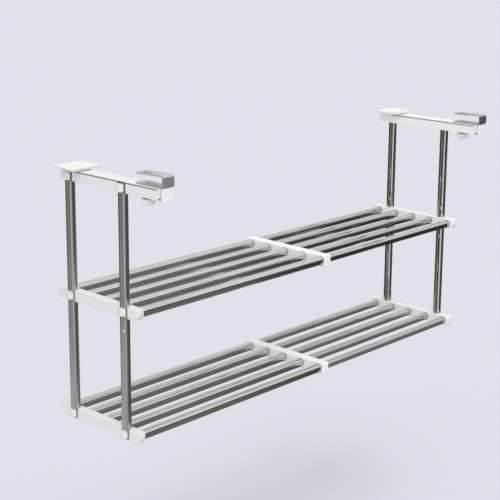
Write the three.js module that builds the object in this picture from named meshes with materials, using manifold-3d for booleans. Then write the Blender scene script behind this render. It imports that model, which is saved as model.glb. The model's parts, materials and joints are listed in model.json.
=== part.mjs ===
// Dish drying shelf that hangs under a wall cabinet: two tiers of sliding tubes between two post frames.
// Sizes in millimetres. X is the width, Y runs to the wall, Z is up. The cabinet board's underside is z = 0.

import * as THREE from 'three';
import { mergeVertices } from 'three/addons/utils/BufferGeometryUtils.js';
import Module from 'manifold-3d';

const wasm = await Module();
wasm.setup();

// General fits and shares
const fitGap = 0.3;                 // clearance between two separate pieces
const half = 0.5;
const cutOver = 1.0;                // how far a cutting shape runs past the face it opens
const weldStep = 0.0005;

// Posts
const postSpacingX = 700;           // left to right between post axes, as extended in the photograph
const tubePitch = 35.3;             // between neighbouring shelf tubes
const pitchesBetweenPosts = 3;      // the posts stand midway between tubes 1 and 2, and 4 and 5
const postSpacingY = tubePitch * pitchesBetweenPosts;
const postRadius = 6.5;
const postWall = 0.6;

// Shelf levels, measured down from the cabinet board
const lowerTubeDepth = 346;
const tierSpacing = 168.5;
const upperTubeDepth = lowerTubeDepth - tierSpacing;
const heightStep = 24;              // one step of the upper tier, up or down
const lockHoleRadius = 2.0;
const lockAngle = 57;               // degrees from the front round towards the left side

// Shelf tubes
const tubeCount = 5;
const outerTubeRadius = 6.7;
const outerTubeWall = 0.4;
const innerTubeRadius = outerTubeRadius - outerTubeWall - fitGap;
const innerTubeWall = 0.5;
const tubeOverlap = 56;             // inner tube inside outer tube in the photograph's position

// End rails
const railEndReach = 12.9;          // beyond the outermost tube axes
const railLength = tubePitch * (tubeCount - 1) + railEndReach + railEndReach;
const railWidth = 12;
const railOuterOffset = 3.5;        // outer face beyond the post axis
const railAbove = 8.1;              // top face above the tube axis
const railBelow = 7.7;
const railNoseRadius = 5.6;         // rounding of the ends seen from above
const railChinRadius = 12.5;        // rounding of the ends seen from the side
const railWall = 2.0;
const railRoof = 2.2;
const railEdge = 0.8;
const socketDepth = 8;
const pocketMargin = 1.6;           // plastic left round a tube socket or a post ring

// Snap tongues round the posts
const tongueWall = 1.6;
const tongueBelowTop = 1.3;
const tongueHeight = 11.3;
const slitWidth = 3.0;
const slitAngle = 26;               // degrees from the front round towards the left side
const pinRadius = lockHoleRadius - fitGap;
const pinReach = 1.5;               // how far a pin stands into the post's hole
const detentReach = 0.2;            // how far the pins that slide along the post stand out of the ring

// Middle connectors
const connectorLeftX = 17.5;
const connectorWidth = 14.5;
const connectorEndReach = 9.4;      // beyond the outermost tube axes
const connectorLength = tubePitch * (tubeCount - 1) + connectorEndReach + connectorEndReach;
const connectorAbove = 8.5;
const connectorBelow = 9.5;
const connectorCorner = 4;
const connectorEdge = 1.0;
const connectorSocket = 6;
const connectorWall = 2.0;
const connectorRoof = 2.4;

// Arms
const armWidth = 20;
const armTop = -4.2;
const armHeight = 15.9;
const armHeelReach = 15.45;         // behind the rear post's axis
const armNoseReach = 74.0;          // in front of the front post's axis
const armRear = postSpacingY * half + armHeelReach;
const armFront = -postSpacingY * half - armNoseReach;
const armWall = 2.0;
const armRoof = 2.3;
const armEdge = 0.7;
const armHeelRadius = 3.5;
const armGrooveTop = 1.6;           // below the arm's top face
const armGrooveHeight = 1.6;
const armGrooveDepth = 1.2;
const grooveHeelInset = 25.4;
const grooveNoseInset = 5.8;
const armGrooveRear = armRear - grooveHeelInset;
const armGrooveFront = armFront + grooveNoseInset;
const armRibThickness = 1.6;
const armBayCount = 4;              // ribbed bays between the two posts
const capSnapHoleRadius = 0.9;
const capSnapHoleInset = 2.2;

// End caps of the arms
const capThickness = 2.3;
const capPlugLength = 5;
const capPlugWall = 1.4;
const capCorner = 1.6;

// Rest plates and pads
const plateWidth = 50;
const plateLength = 44;
const plateRearInset = 0.4;
const plateRear = armRear - plateRearInset;
const plateCorner = 4;
const plateThickness = 1.4;
const padThickness = 1.0;
const padInset = 0.8;
const bossWidth = 14;
const bossLength = 34;

// Hooks
const hookWidth = 19.5;
const hookThickness = 1.5;
const hookOverhang = 1.1;           // in front of the end cap's face
const hookFront = armFront - fitGap - capThickness - hookOverhang;
const hookTop = 12.2;
const jawLength = 49.5;
const legLength = 50;
const hookTipY = hookFront + jawLength;
const hookLegEndY = hookFront + legLength;
const jawDroop = 2.0;               // the jaw leans down towards its tip
const jawTipLift = 1.2;
const jawTipLength = 5;
const hookTopBend = 4.0;
const hookFootBend = 3.0;
const hookEdge = 0.25;
const dimpleRadius = 2.6;
const dimpleSink = 1.3;
const dimpleTipInset = 7;           // rear dimple before the jaw's tip
const dimplePitch = 8;
const dimpleY = [hookTipY - dimpleTipInset - dimplePitch, hookTipY - dimpleTipInset];

// Clamp knobs and screws
const screwShare = 0.725;           // of the leg's length, behind the hook's face
const screwInset = screwShare * legLength;
const screwY = hookFront + screwInset;
const screwRadius = 2.3;
const screwTipBelowLeg = 0.2;
const hookTravelFront = 12;
const hookTravelRear = 6;
const knobRadius = 9;
const knobHeight = 10.3;
const knobNeckRadius = 6;
const knobNeckHeight = 1.6;
const knobFloor = 2.4;
const knobRounding = 2.6;
const gripCount = 12;
const gripRadius = 1.5;
const gripOutset = 0.9;

// Facet counts
const tubeFacets = 18;
const boreFacets = 14;
const holeFacets = 6;
const gripFacets = 6;
const cornerSteps = 3;
const ballAcross = 8;
const ballDown = 4;
const straight = 1;
const unit = 1;
const perCorner = 3;                // coordinates in a corner, and corners in a face
const quarterTurn = Math.PI * half;
const fullTurn = Math.PI * 2;

// Derived levels and positions
const postX = -postSpacingX * half;
const railOuterX = postX - railOuterOffset;
const railInnerX = railOuterX + railWidth;
const armOuterX = railOuterX;
const armMiddleX = armOuterX + armWidth * half;
const armBottom = armTop - armHeight;
const ringRadius = postRadius + fitGap + tongueWall;
const postBoreRadius = postRadius + fitGap;
const postTopZ = armTop - armRoof - fitGap;
const postBottomZ = -lowerTubeDepth - railBelow + pocketMargin;
const connectorSocketEnd = connectorLeftX + connectorSocket;
const legBottom = armTop + fitGap;
const plateTop = -padThickness - fitGap;

const along = {
  x: new THREE.Vector3(unit, 0, 0), y: new THREE.Vector3(0, unit, 0), z: new THREE.Vector3(0, 0, unit),
};

function boxGeometry(x0, x1, y0, y1, z0, z1) {
  const box = new THREE.BoxGeometry(x1 - x0, y1 - y0, z1 - z0);
  return box.translate((x0 + x1) * half, (y0 + y1) * half, (z0 + z1) * half);
}

function rodGeometry(radius, length, facets) {
  const rod = new THREE.CylinderGeometry(radius, radius, length, facets, straight);
  return rod.rotateX(quarterTurn);
}

function rodAlongX(radius, x0, x1, y, z, facets) {
  const rod = new THREE.CylinderGeometry(radius, radius, x1 - x0, facets, straight);
  return rod.rotateZ(quarterTurn).translate((x0 + x1) * half, y, z);
}

function rodAlongZ(radius, z0, z1, x, y, facets) {
  return rodGeometry(radius, z1 - z0, facets).translate(x, y, (z0 + z1) * half);
}

// Keeps positions and faces only, joins matching corners, and turns the faces outward
function cleaned(geometry) {
  const copy = geometry.clone();
  for (const name of ['normal', 'uv']) if (copy.getAttribute(name)) copy.deleteAttribute(name);
  const merged = mergeVertices(copy, weldStep);
  const at = merged.getAttribute('position');
  const faces = [];
  const a = new THREE.Vector3(), b = new THREE.Vector3(), c = new THREE.Vector3();
  let volume = 0;
  const order = merged.index.array;
  for (let i = 0; i < order.length; i += perCorner) {
    const [p, q, r] = order.slice(i, i + perCorner);
    if (p === q || q === r || p === r) continue;
    a.fromBufferAttribute(at, p); b.fromBufferAttribute(at, q); c.fromBufferAttribute(at, r);
    volume += a.dot(b.cross(c));
    faces.push([p, q, r]);
  }
  const turned = volume < 0 ? faces.map(([p, q, r]) => [p, r, q]) : faces;
  merged.setIndex(turned.flat());
  return merged;
}

function solid(geometry) {
  const shape = cleaned(geometry);
  return new wasm.Manifold(new wasm.Mesh({
    numProp: perCorner,
    vertProperties: new Float32Array(shape.getAttribute('position').array),
    triVerts: new Uint32Array(shape.index.array),
  }));
}

function cut(body, cutters) {
  return cutters.reduce((left, cutter) => left.subtract(solid(cutter)), body);
}

function joined(body, additions) {
  return additions.reduce((whole, addition) => whole.add(solid(addition)), body);
}

function geometryOf(body) {
  const mesh = body.getMesh();
  const geometry = new THREE.BufferGeometry();
  geometry.setAttribute('position', new THREE.BufferAttribute(new Float32Array(mesh.vertProperties), perCorner));
  geometry.setIndex(Array.from(mesh.triVerts));
  return geometry;
}

function mirroredX(geometry) {
  const copy = cleaned(geometry);
  return cleaned(copy.scale(-unit, unit, unit));
}

// Rounded rectangle in the plane, from corner to corner
function roundedOutline(u0, u1, v0, v1, radius) {
  const outline = new THREE.Shape();
  outline.moveTo(u0 + radius, v0);
  outline.lineTo(u1 - radius, v0);
  outline.absarc(u1 - radius, v0 + radius, radius, -quarterTurn, 0, false);
  outline.lineTo(u1, v1 - radius);
  outline.absarc(u1 - radius, v1 - radius, radius, 0, quarterTurn, false);
  outline.lineTo(u0 + radius, v1);
  outline.absarc(u0 + radius, v1 - radius, radius, quarterTurn, Math.PI, false);
  outline.lineTo(u0, v0 + radius);
  outline.absarc(u0 + radius, v0 + radius, radius, Math.PI, Math.PI + quarterTurn, false);
  return outline;
}

// A plan outline (x, y) raised from z0 to z1 with softened edges
function raised(outline, z0, z1, edge) {
  const options = {
    depth: z1 - z0 - edge - edge, bevelEnabled: edge > 0, bevelThickness: edge, bevelSize: edge,
    bevelOffset: -edge, bevelSegments: straight, curveSegments: cornerSteps,
  };
  return new THREE.ExtrudeGeometry(outline, options).translate(0, 0, z0 + edge);
}

// A side outline (y, z) drawn out from x0 to x1 with softened edges
function drawnOut(outline, x0, x1, edge) {
  const shape = raised(outline, 0, x1 - x0, edge);
  const turn = new THREE.Matrix4().makeBasis(
    along.y, along.z, along.x);
  return shape.applyMatrix4(turn).translate(x0, 0, 0);
}

// Hollow tube along X
function hollowTube(radius, wall, x0, x1, y, z) {
  const profile = [[radius, x0], [radius, x1], [radius - wall, x1], [radius - wall, x0], [radius, x0]];
  const tube = new THREE.LatheGeometry(profile.map(([r, h]) => new THREE.Vector2(r, h)), tubeFacets);
  return cleaned(tube.rotateZ(-quarterTurn).translate(0, y, z));
}

function tubeY(index) {
  return ((tubeCount - 1) * half - index) * tubePitch;
}

// Post along Z with its lock holes drilled straight through
function post(y) {
  const profile = [
    [postRadius, postBottomZ], [postRadius, postTopZ], [postRadius - postWall, postTopZ],
    [postRadius - postWall, postBottomZ], [postRadius, postBottomZ],
  ];
  const wall = new THREE.LatheGeometry(profile.map(([r, h]) => new THREE.Vector2(r, h)), tubeFacets);
  const body = solid(turnedToLock(wall.rotateX(quarterTurn), y));
  const reach = postRadius + cutOver;
  const levels = [-lowerTubeDepth, -upperTubeDepth - heightStep, -upperTubeDepth, -upperTubeDepth + heightStep];
  const holes = levels.map((z) => turnedToLock(rodAlongX(lockHoleRadius, -reach, reach, 0, z, holeFacets), y));
  holes.push(rodAlongX(lockHoleRadius, postX - reach, postX + reach, y, armTongueMiddle(), holeFacets));
  return geometryOf(cut(body, holes));
}

// Turns what points to the left from the post's axis to where the lock holes are, and puts it at the post
function turnedToLock(geometry, y) {
  const turn = quarterTurn - THREE.MathUtils.degToRad(lockAngle);
  return geometry.rotateZ(turn).translate(postX, y, 0);
}

function armTongueMiddle() {
  return armTop - armGrooveTop - armGrooveHeight - tongueHeight * half;
}

// The cut that frees a tongue's tip from the face in front of it
function tongueSlit(y, z0, z1) {
  const reach = ringRadius + cutOver;
  const slit = boxGeometry(-slitWidth * half, slitWidth * half, -reach, -postRadius * half, z0, z1);
  return slit.rotateZ(-THREE.MathUtils.degToRad(slitAngle)).translate(postX, y, 0);
}

// Ring round a post: its outer half is the springy snap tongue
function tongueRing(y, z0, z1) {
  return rodAlongZ(ringRadius, z0, z1, postX, y, boreFacets);
}

// Pin on the inside of a ring, pointing from the left to the post's axis
function lockPin(z, reach) {
  return rodAlongX(pinRadius, -ringRadius + tongueWall * half, -postBoreRadius + reach, 0, z, holeFacets);
}

// Left end rail: a ribbed channel open below, with a socket for each tube and a snap ring at each post
function rail(tubeRadius, axisZ, reachOfPins) {
  const top = axisZ + railAbove, bottom = axisZ - railBelow, reach = railLength * half;
  const side = new THREE.Shape();
  side.moveTo(-reach + railChinRadius, bottom);
  side.lineTo(reach - railChinRadius, bottom);
  side.absarc(reach - railChinRadius, bottom + railChinRadius, railChinRadius, -quarterTurn, 0, false);
  side.lineTo(reach, top);
  side.lineTo(-reach, top);
  side.lineTo(-reach, bottom + railChinRadius);
  side.absarc(-reach + railChinRadius, bottom + railChinRadius, railChinRadius,
    Math.PI, Math.PI + quarterTurn, false);
  const plan = roundedOutline(railOuterX, railInnerX, -reach, reach, railNoseRadius);
  let body = solid(drawnOut(side, railOuterX, railInnerX, railEdge))
    .intersect(solid(raised(plan, bottom - cutOver, top, railEdge)));

  const tongueTop = top - tongueBelowTop, tongueFoot = tongueTop - tongueHeight;
  const posts = [postSpacingY * half, -postSpacingY * half];
  body = cut(body, railPockets(bottom, top));
  body = joined(body, posts.map((y) => tongueRing(y, tongueFoot, tongueTop)));
  body = cut(body, posts.map((y) =>
    rodAlongZ(postBoreRadius, bottom - cutOver, top + cutOver, postX, y, boreFacets)));
  body = cut(body, posts.map((y) => tongueSlit(y, bottom - cutOver, top + cutOver)));
  body = joined(body, posts.map((y) => turnedToLock(lockPin(axisZ, reachOfPins), y)));
  for (let i = 0; i < tubeCount; i += 1) {
    body = cut(body, [rodAlongX(tubeRadius + fitGap, railInnerX - socketDepth, railInnerX + cutOver,
      tubeY(i), axisZ, boreFacets)]);
  }
  return geometryOf(body);
}

// Pockets moulded into the underside between the tube sockets that have no post beside them
function railPockets(bottom, top) {
  const sockets = outerTubeRadius + fitGap + pocketMargin;
  const pockets = [];
  for (const middle of [tubePitch * half, -tubePitch * half]) {
    const reach = tubePitch * half - sockets;
    pockets.push(boxGeometry(railOuterX + railWall, railInnerX - railWall, middle - reach, middle + reach,
      bottom - cutOver, top - railRoof));
  }
  return pockets;
}

// Middle connector: the outer tubes end in it and the inner tubes slide through it
function connector(axisZ) {
  const reach = connectorLength * half, rightX = connectorLeftX + connectorWidth;
  const top = axisZ + connectorAbove, bottom = axisZ - connectorBelow;
  const plan = roundedOutline(connectorLeftX, rightX, -reach, reach, connectorCorner);
  let body = solid(raised(plan, bottom, top, connectorEdge));
  const margin = outerTubeRadius + fitGap + pocketMargin;
  for (let i = 0; i < tubeCount - 1; i += 1) {
    body = cut(body, [boxGeometry(connectorLeftX + connectorWall, rightX - connectorWall,
      tubeY(i + 1) + margin, tubeY(i) - margin, bottom - cutOver, top - connectorRoof)]);
  }
  for (let i = 0; i < tubeCount; i += 1) {
    body = cut(body, [
      rodAlongX(outerTubeRadius + fitGap, connectorLeftX - cutOver, connectorSocketEnd, tubeY(i), axisZ, boreFacets),
      rodAlongX(innerTubeRadius + fitGap, connectorLeftX, rightX + cutOver, tubeY(i), axisZ, boreFacets),
    ]);
  }
  return geometryOf(body);
}

// Arm: a ribbed channel open below and at the front, grooved along both sides
function arm() {
  const innerX = armOuterX + armWidth;
  const side = new THREE.Shape();
  side.moveTo(armFront, armBottom);
  side.lineTo(armRear - armHeelRadius, armBottom);
  side.absarc(armRear - armHeelRadius, armBottom + armHeelRadius, armHeelRadius, -quarterTurn, 0, false);
  side.lineTo(armRear, armTop);
  side.lineTo(armFront, armTop);
  let body = solid(drawnOut(side, armOuterX, innerX, armEdge));

  const grooveTop = armTop - armGrooveTop, grooveFoot = grooveTop - armGrooveHeight;
  body = cut(body, [
    boxGeometry(armOuterX - cutOver, armOuterX + armGrooveDepth, armGrooveFront, armGrooveRear, grooveFoot, grooveTop),
    boxGeometry(innerX - armGrooveDepth, innerX + cutOver, armGrooveFront, armGrooveRear, grooveFoot, grooveTop),
  ]);
  body = cut(body, armBays(innerX));
  const posts = [postSpacingY * half, -postSpacingY * half];
  const tongueTop = grooveFoot, tongueFoot = grooveFoot - tongueHeight;
  body = joined(body, posts.map((y) => tongueRing(y, tongueFoot, tongueTop)));
  body = cut(body, posts.map((y) =>
    rodAlongZ(postBoreRadius, armBottom - cutOver, armTop - armRoof, postX, y, boreFacets)));
  body = cut(body, posts.map((y) => tongueSlit(y, armBottom - cutOver, grooveFoot)));
  body = joined(body, posts.map((y) => lockPin(armTongueMiddle(), pinReach).translate(postX, y, 0)));
  body = cut(body, [screwSlot(), snapHole(innerX)]);
  return geometryOf(body);
}

// Bays between the ribs, and the long front bay that the clamp screw moves in
function armBays(innerX) {
  const x0 = armOuterX + armWall, x1 = innerX - armWall;
  const low = armBottom - cutOver, high = armTop - armRoof;
  const clear = postSpacingY * half - ringRadius - pocketMargin;
  const pitch = (clear + clear + armRibThickness) / armBayCount;
  const bays = [];
  for (let i = 0; i < armBayCount; i += 1) {
    const start = -clear + i * pitch;
    bays.push(boxGeometry(x0, x1, start, start + pitch - armRibThickness, low, high));
  }
  const frontBay = -postSpacingY * half - ringRadius - pocketMargin;
  bays.push(boxGeometry(x0, x1, armFront - cutOver, frontBay, low, high));
  return bays;
}

function screwSlot() {
  const halfWide = screwRadius + fitGap;
  const outline = roundedOutline(armMiddleX - halfWide, armMiddleX + halfWide,
    screwY - hookTravelFront - halfWide, screwY + hookTravelRear + halfWide, halfWide - weldStep);
  return raised(outline, armTop - armRoof - cutOver, armTop + cutOver, 0);
}

function snapHole(innerX) {
  return rodAlongX(capSnapHoleRadius, armOuterX - cutOver, innerX + cutOver,
    armFront + capSnapHoleInset, armBottom + capSnapHoleInset, holeFacets);
}

// End cap: a face the size of the arm's end with a hollow plug inside the channel
function armEndCap() {
  const innerX = armOuterX + armWidth, faceRear = armFront - fitGap;
  const outline = roundedOutline(armOuterX, innerX, armBottom, armTop, capCorner);
  const face = raised(outline, 0, capThickness, armEdge * half);
  const stand = new THREE.Matrix4().makeBasis(
    along.x, along.z, along.y);
  face.applyMatrix4(stand).translate(0, faceRear - capThickness, 0);
  const x0 = armOuterX + armWall + fitGap, x1 = innerX - armWall - fitGap;
  const z0 = armBottom + capPlugWall, z1 = armTop - armRoof - fitGap;
  const plug = boxGeometry(x0, x1, faceRear - capThickness * half, armFront + capPlugLength, z0, z1);
  const hollow = boxGeometry(x0 + capPlugWall, x1 - capPlugWall, armFront, armFront + capPlugLength + cutOver,
    z0 + capPlugWall, z1 - capPlugWall);
  return geometryOf(cut(joined(solid(face), [plug]), [hollow]));
}

// Rest plate: a wide thin plate on a low boss, pressed up against the cabinet board
function restPlate() {
  const x0 = armMiddleX - plateWidth * half, y0 = plateRear - plateLength;
  const outline = roundedOutline(x0, x0 + plateWidth, y0, plateRear, plateCorner);
  const plate = solid(raised(outline, plateTop - plateThickness, plateTop, 0));
  const bossRear = plateRear - (plateLength - bossLength) * half;
  const boss = boxGeometry(armMiddleX - bossWidth * half, armMiddleX + bossWidth * half,
    bossRear - bossLength, bossRear, armTop + fitGap, plateTop - plateThickness * half);
  return geometryOf(joined(plate, [boss]));
}

function restPad() {
  const x0 = armMiddleX - plateWidth * half + padInset, y0 = plateRear - plateLength + padInset;
  const outline = roundedOutline(x0, x0 + plateWidth - padInset - padInset,
    y0, plateRear - padInset, plateCorner - padInset);
  return cleaned(raised(outline, -padThickness, 0, 0));
}

// Hook: one strip bent twice, its leg on the arm, its web in front and its jaw above the board's edge
function hook() {
  const legTop = legBottom + hookThickness, jawTipTop = hookTop - jawDroop;
  const innerTop = hookTopBend - hookThickness, innerFoot = hookFootBend - hookThickness;
  const side = new THREE.Shape();
  side.moveTo(hookLegEndY, legBottom);
  side.lineTo(hookFront + hookFootBend, legBottom);
  side.absarc(hookFront + hookFootBend, legBottom + hookFootBend, hookFootBend,
    -quarterTurn, -Math.PI, true);
  side.lineTo(hookFront, hookTop - hookTopBend);
  side.absarc(hookFront + hookTopBend, hookTop - hookTopBend, hookTopBend, Math.PI, quarterTurn, true);
  side.lineTo(hookTipY - jawTipLength, jawTipTop);
  side.lineTo(hookTipY, jawTipTop + jawTipLift);
  side.lineTo(hookTipY, jawTipTop + jawTipLift - hookThickness);
  side.lineTo(hookTipY - jawTipLength, jawTipTop - hookThickness);
  side.lineTo(hookFront + hookTopBend, hookTop - hookThickness);
  side.absarc(hookFront + hookTopBend, hookTop - hookTopBend, innerTop, quarterTurn, Math.PI, false);
  side.lineTo(hookFront + hookThickness, legBottom + hookFootBend);
  side.absarc(hookFront + hookFootBend, legBottom + hookFootBend, innerFoot, -Math.PI, -quarterTurn, false);
  side.lineTo(hookLegEndY, legTop);
  const x0 = armMiddleX - hookWidth * half;
  let body = solid(drawnOut(side, x0, x0 + hookWidth, hookEdge));
  const slope = jawDroop / (hookTipY - jawTipLength - hookFront - hookTopBend);
  for (const y of dimpleY) {
    const top = hookTop - slope * (y - hookFront - hookTopBend);
    const ball = new THREE.SphereGeometry(dimpleRadius, ballAcross, ballDown).rotateX(quarterTurn);
    const lift = dimpleRadius - dimpleSink;
    body = joined(body, [ball.clone().translate(armMiddleX, y, top - hookThickness + lift)]);
    body = cut(body, [
      ball.clone().translate(armMiddleX, y, top + lift),
      boxGeometry(armMiddleX - dimpleRadius, armMiddleX + dimpleRadius, y - dimpleRadius, y + dimpleRadius,
        top + weldStep, top + dimpleRadius + dimpleRadius),
    ]);
  }
  body = cut(body, [rodAlongZ(screwRadius + fitGap, legBottom - cutOver, legTop + cutOver,
    armMiddleX, screwY, boreFacets)]);
  return geometryOf(body);
}

// Clamp knob under the arm, hand grips round its rim and a blind bore for the screw
function clampKnob() {
  const top = armBottom - fitGap, foot = top - knobHeight, rimTop = top - knobNeckHeight;
  const profile = [new THREE.Vector2(0, foot)];
  for (let i = 0; i <= cornerSteps; i += 1) {
    const angle = quarterTurn * (i / cornerSteps - 1);
    profile.push(new THREE.Vector2(knobRadius - knobRounding + knobRounding * Math.cos(angle),
      foot + knobRounding + knobRounding * Math.sin(angle)));
  }
  profile.push(new THREE.Vector2(knobRadius, rimTop), new THREE.Vector2(knobNeckRadius, rimTop),
    new THREE.Vector2(knobNeckRadius, top), new THREE.Vector2(0, top));
  const turned = new THREE.LatheGeometry(profile, tubeFacets).rotateX(quarterTurn);
  let body = solid(turned.translate(armMiddleX, screwY, 0));
  for (let i = 0; i < gripCount; i += 1) {
    const angle = fullTurn * (i + half) / gripCount, reach = knobRadius + gripOutset;
    body = cut(body, [rodAlongZ(gripRadius, foot - cutOver, rimTop + cutOver * half,
      armMiddleX + reach * Math.cos(angle), screwY + reach * Math.sin(angle), gripFacets)]);
  }
  body = cut(body, [rodAlongZ(screwRadius + fitGap, foot + knobFloor, top + cutOver, armMiddleX, screwY, boreFacets)]);
  return geometryOf(body);
}

function clampScrew() {
  const foot = armBottom - knobHeight + knobFloor, tip = legBottom + hookThickness - screwTipBelowLeg;
  const chamfer = screwRadius * half * half;
  const profile = [
    [0, foot], [screwRadius, foot], [screwRadius, tip - chamfer], [screwRadius - chamfer, tip], [0, tip],
  ];
  const turned = new THREE.LatheGeometry(profile.map(([r, h]) => new THREE.Vector2(r, h)), boreFacets);
  return cleaned(turned.rotateX(quarterTurn).translate(armMiddleX, screwY, 0));
}

const finishes = {
  steelTube: { color: 0xb9bcc0, metalness: 1, roughness: 0.15 },
  steelPost: { color: 0xb3b6ba, metalness: 1, roughness: 0.15 },
  steelStrip: { color: 0x9a9da2, metalness: 1, roughness: 0.35 },
  steelScrew: { color: 0x8f9296, metalness: 1, roughness: 0.3 },
  whitePlastic: { color: 0xf1f2f1, metalness: 0, roughness: 0.4 },
  creamPad: { color: 0xf3f3e4, metalness: 0, roughness: 0.8 },
};

const shelf = new THREE.Group();
shelf.name = 'dish_drying_shelf';

function place(name, geometry, finish) {
  const faces = geometry.toNonIndexed();
  faces.computeVertexNormals();
  const mesh = new THREE.Mesh(faces, new THREE.MeshStandardMaterial(finishes[finish]));
  mesh.name = name;
  shelf.add(mesh);
}

function placeBothSides(name, geometry, finish) {
  place(`left_${name}`, geometry, finish);
  place(`right_${name}`, mirroredX(geometry), finish);
}

for (const [name, y] of [['rear_post', postSpacingY * half], ['front_post', -postSpacingY * half]]) {
  place(`left_${name}`, post(y), 'steelPost');
  place(`right_${name}`, post(-y).rotateZ(Math.PI), 'steelPost');
}
placeBothSides('arm', arm(), 'whitePlastic');
placeBothSides('arm_end_cap', armEndCap(), 'whitePlastic');
placeBothSides('rest_plate', restPlate(), 'whitePlastic');
placeBothSides('rest_pad', restPad(), 'creamPad');
placeBothSides('hook', hook(), 'steelStrip');
placeBothSides('clamp_knob', clampKnob(), 'whitePlastic');
placeBothSides('clamp_screw', clampScrew(), 'steelScrew');

const outerLeftX = railInnerX - socketDepth + fitGap, outerRightX = connectorSocketEnd - fitGap;
const innerLeftX = outerRightX - tubeOverlap, innerRightX = -outerLeftX;
for (const [tier, depth, reachOfPins] of [['lower', lowerTubeDepth, pinReach], ['upper', upperTubeDepth, detentReach]]) {
  place(`${tier}_left_rail`, rail(outerTubeRadius, -depth, reachOfPins), 'whitePlastic');
  place(`${tier}_right_rail`, rail(innerTubeRadius, -depth, reachOfPins).rotateZ(Math.PI), 'whitePlastic');
  place(`${tier}_connector`, connector(-depth), 'whitePlastic');
  for (let i = 0; i < tubeCount; i += 1) {
    const outer = hollowTube(outerTubeRadius, outerTubeWall, outerLeftX, outerRightX, tubeY(i), -depth);
    const inner = hollowTube(innerTubeRadius, innerTubeWall, innerLeftX, innerRightX, tubeY(i), -depth);
    place(`${tier}_outer_tube_${i + 1}`, outer, 'steelTube');
    place(`${tier}_inner_tube_${i + 1}`, inner, 'steelTube');
  }
}

export default shelf;
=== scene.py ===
"""Dish drying shelf: the finished pieces, their materials and the studio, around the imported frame."""
import json
import math
import bpy
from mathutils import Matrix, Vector


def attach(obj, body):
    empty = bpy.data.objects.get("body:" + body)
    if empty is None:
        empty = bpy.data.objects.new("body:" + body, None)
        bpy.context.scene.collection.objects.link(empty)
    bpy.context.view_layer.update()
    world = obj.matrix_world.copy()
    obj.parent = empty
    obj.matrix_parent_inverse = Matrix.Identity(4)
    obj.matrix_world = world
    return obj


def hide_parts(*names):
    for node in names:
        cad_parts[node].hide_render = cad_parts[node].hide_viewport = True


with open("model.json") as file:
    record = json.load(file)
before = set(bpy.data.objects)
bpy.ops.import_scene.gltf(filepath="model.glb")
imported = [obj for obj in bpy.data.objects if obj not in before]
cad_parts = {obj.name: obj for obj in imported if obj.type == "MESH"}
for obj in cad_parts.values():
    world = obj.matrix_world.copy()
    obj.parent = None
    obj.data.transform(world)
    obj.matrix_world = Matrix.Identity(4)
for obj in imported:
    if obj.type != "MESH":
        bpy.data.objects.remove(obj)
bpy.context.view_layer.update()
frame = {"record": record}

# Sizes in millimetres, angles in degrees from +X
MM = 0.001
GAP = 0.3  # between pieces that fit together
OVER = 1.0  # how far a tool stands out of what it cuts
NEAR, LONG = 0.01, 0.5  # how close a place and how long an edge has to be when edges are picked
RIB = 1.6  # of plastic between two hollows
FRONT = 270.0
SMOOTH_ANGLE = 32.0
X, Y, Z = range(3)

POST_X, POST_Y, POST_R, POST_WALL = -350.0, 52.95, 6.5, 0.6
POST_UP, POST_LIP = 1.6, 0.15
LOCK_ANGLE, SLIT_ANGLE, SLIT_WIDE = 57.0, 26.0, 3.0
LOCK_HOLE_R, HOLE_RIM_R, SINK_OVER, ARM_PIN_DRILL = 0.9, 1.95, 0.3, 8.0
HEIGHT_STEP = 24.0
PIN_R, PIN_ROOT, PIN_DEEP, PIN_SHORT = 0.7, 0.8, 1.5, 0.2

TUBE_PITCH, TUBES, TUBE_LIP = 35.3, 5, 0.12
LOWER_Z, UPPER_Z = -346.0, -177.5
OUTER_R, OUTER_WALL = 6.7, 0.4
INNER_R, INNER_WALL = 6.0, 0.5
OUTER_X = (-349.2, 23.2)
INNER_X = (-32.8, 349.2)

RAIL_X, RAIL_REACH = (-353.5, -341.5), 83.5
RAIL_ABOVE, RAIL_BELOW = 8.1, 7.7
RAIL_NOSE_R, RAIL_CHIN_R, RAIL_EASE, KEEL_OVER = 5.6, 12.5, 0.8, 5.0
RAIL_WALL, RAIL_ROOF, SOCKET_DEPTH, POCKET_EASE = 2.0, 2.2, 8.0, 0.6
RING_R, BORE_R, RING_LAP = 8.4, 6.8, 0.05
TONGUE_DROP, TONGUE_HIGH, TONGUE_CORNER_R = 1.3, 11.3, 3.0
TONGUE_SWEEP, TONGUE_LEAD = 130.0, 3.0
TONGUE_X, TONGUE_Y = (-8.0, RING_R + OVER), (-10.0, 0.0)
SLIT_START = 0.6 * POST_R

CONNECTOR_X, CONNECTOR_REACH = (17.5, 32.0), 80.0
CONNECTOR_ABOVE, CONNECTOR_BELOW = 8.5, 9.5
CONNECTOR_WALL, CONNECTOR_ROOF, CONNECTOR_EDGE_R = 2.0, 2.4, 2.4
CONNECTOR_SOCKET_X = 23.5

ARM_X = (-353.5, -333.5)
ARM_MIDDLE = sum(ARM_X) / 2
ARM_Y, ARM_Z = (-126.95, 68.4), (-20.1, -4.2)
ARM_WALL, ARM_ROOF, ARM_HEEL_R, ARM_EASE, BAYS = 2.0, 2.3, 3.5, 0.7, 4
GROOVE_Y, GROOVE_Z, GROOVE_DEEP = (-121.15, 43.0), (-7.4, -5.8), 1.2
CAP_THICK, CAP_STEP, CAP_CORNER_R, CAP_EASE = 2.3, 1.4, 1.6, 0.5
PLUG_ROOT, PLUG_REACH, PLUG_WALL = 1.0, 5.0, 1.4
SNAP_Y, SNAP_Z, SNAP_R = ARM_Y[0] + 1.9, ARM_Z[0] + 2.6, 1.3

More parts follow.
